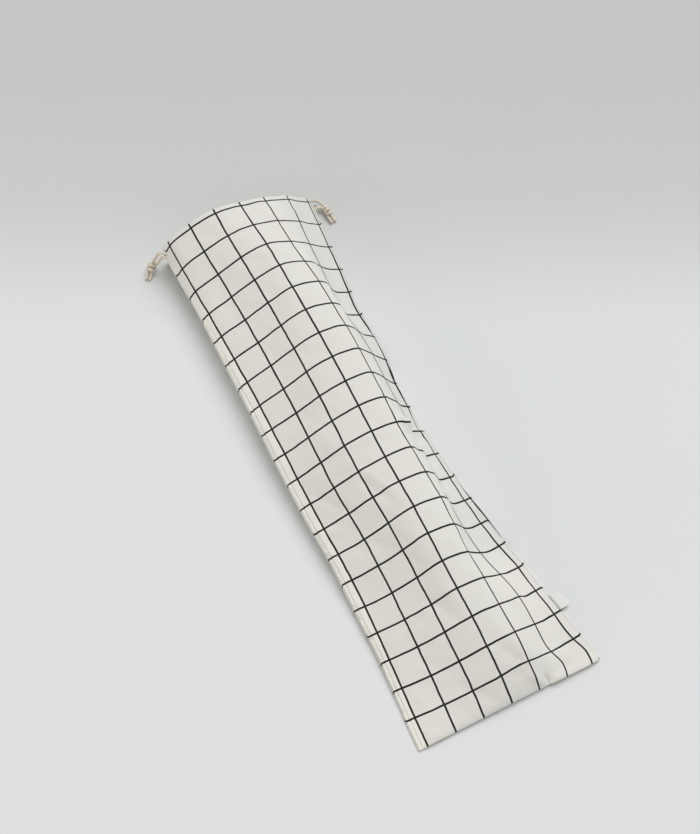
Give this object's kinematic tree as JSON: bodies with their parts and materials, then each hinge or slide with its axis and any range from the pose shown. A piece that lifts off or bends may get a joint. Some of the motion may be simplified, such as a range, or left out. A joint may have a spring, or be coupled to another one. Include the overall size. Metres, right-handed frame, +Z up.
{
  "type": "bread bag",
  "caption": "Linen bread bag with a black windowpane check and a drawstring mouth, lying open and empty in its filled shape.",
  "frame": {"origin": "centre of the bag's outline on the table under it, with the drawcords left out", "axes": "+Y along the bag from its bottom seam to its mouth, +X across it to the side with the label, +Z up"},
  "size_m": [0.255, 0.699, 0.0741],
  "materials": {
    "checked_linen": "matte woven linen with a black windowpane check",
    "cotton_cord": "matte twisted cotton",
    "label_tape": "plain white woven tape"
  },
  "bodies": {
    "root": {"front_panel": "checked_linen", "back_panel": "checked_linen", "side_label": "label_tape", "left_strand_a": "cotton_cord", "left_strand_b": "cotton_cord", "left_knot": "cotton_cord", "left_tail_a": "cotton_cord", "left_tail_b": "cotton_cord", "right_strand_a": "cotton_cord", "right_strand_b": "cotton_cord", "right_knot": "cotton_cord", "right_tail_a": "cotton_cord", "right_tail_b": "cotton_cord"}
  },
  "joints": []
}
